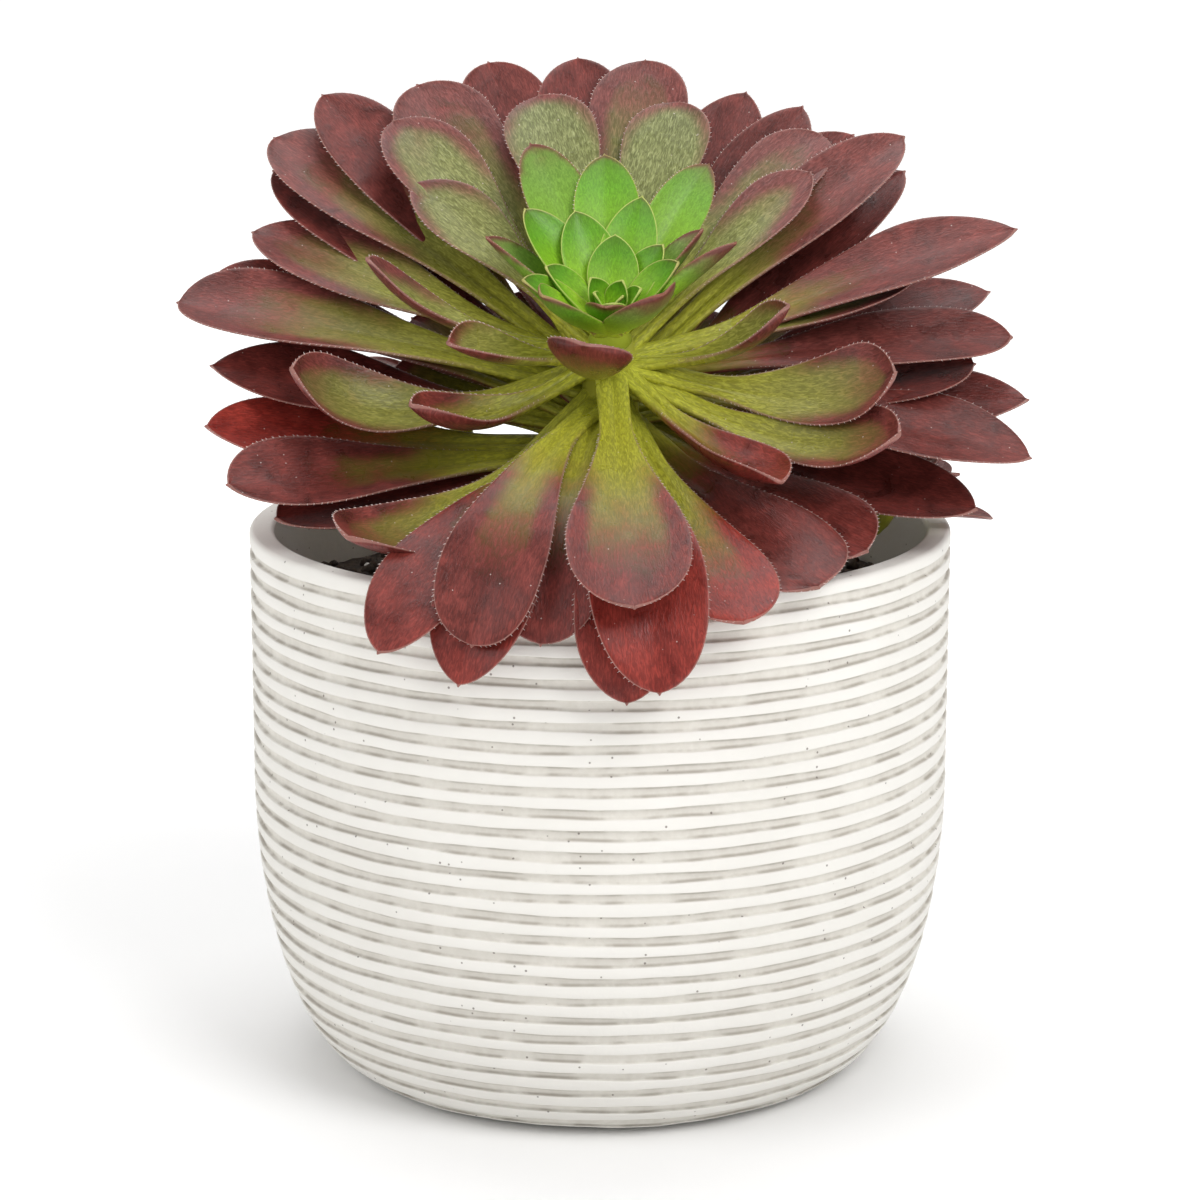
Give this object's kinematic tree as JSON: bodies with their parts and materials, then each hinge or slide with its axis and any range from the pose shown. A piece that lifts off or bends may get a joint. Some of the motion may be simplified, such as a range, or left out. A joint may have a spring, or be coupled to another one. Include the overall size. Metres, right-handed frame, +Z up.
{
  "type": "potted semponium",
  "caption": "Potted succulent: a large leaning rosette of spoon-shaped burgundy leaves with a green heart, on a stem with side shoots, in soil in a round grooved ceramic pot.",
  "frame": {"origin": "centre of the pot's underside, at the face that the pot rests on", "axes": "+Z up, out of the pot's mouth; -Y towards the front, where the rosette leans; +X to the right seen from the front"},
  "size_m": [0.249, 0.2343, 0.2985],
  "materials": {
    "pot_clay": "matte, off-white",
    "peat": "rough, crumbly, matte",
    "stem_bark": "rough bark with leaf scars",
    "leaf_burgundy": "waxy satin, burgundy at the ends and olive towards the centre",
    "leaf_green": "waxy satin, fresh green",
    "leaf_shoot": "waxy satin, grey-green with reddish ends"
  },
  "bodies": {
    "root": {"pot": "pot_clay", "soil": "peat", "main_stem": "stem_bark", "rosette_leaves": "leaf_burgundy", "rosette_heart": "leaf_green", "shoot_right_back": "leaf_shoot", "shoot_right_rim": "leaf_shoot", "shoot_left_back": "leaf_shoot", "shoot_back": "leaf_shoot"}
  },
  "joints": []
}
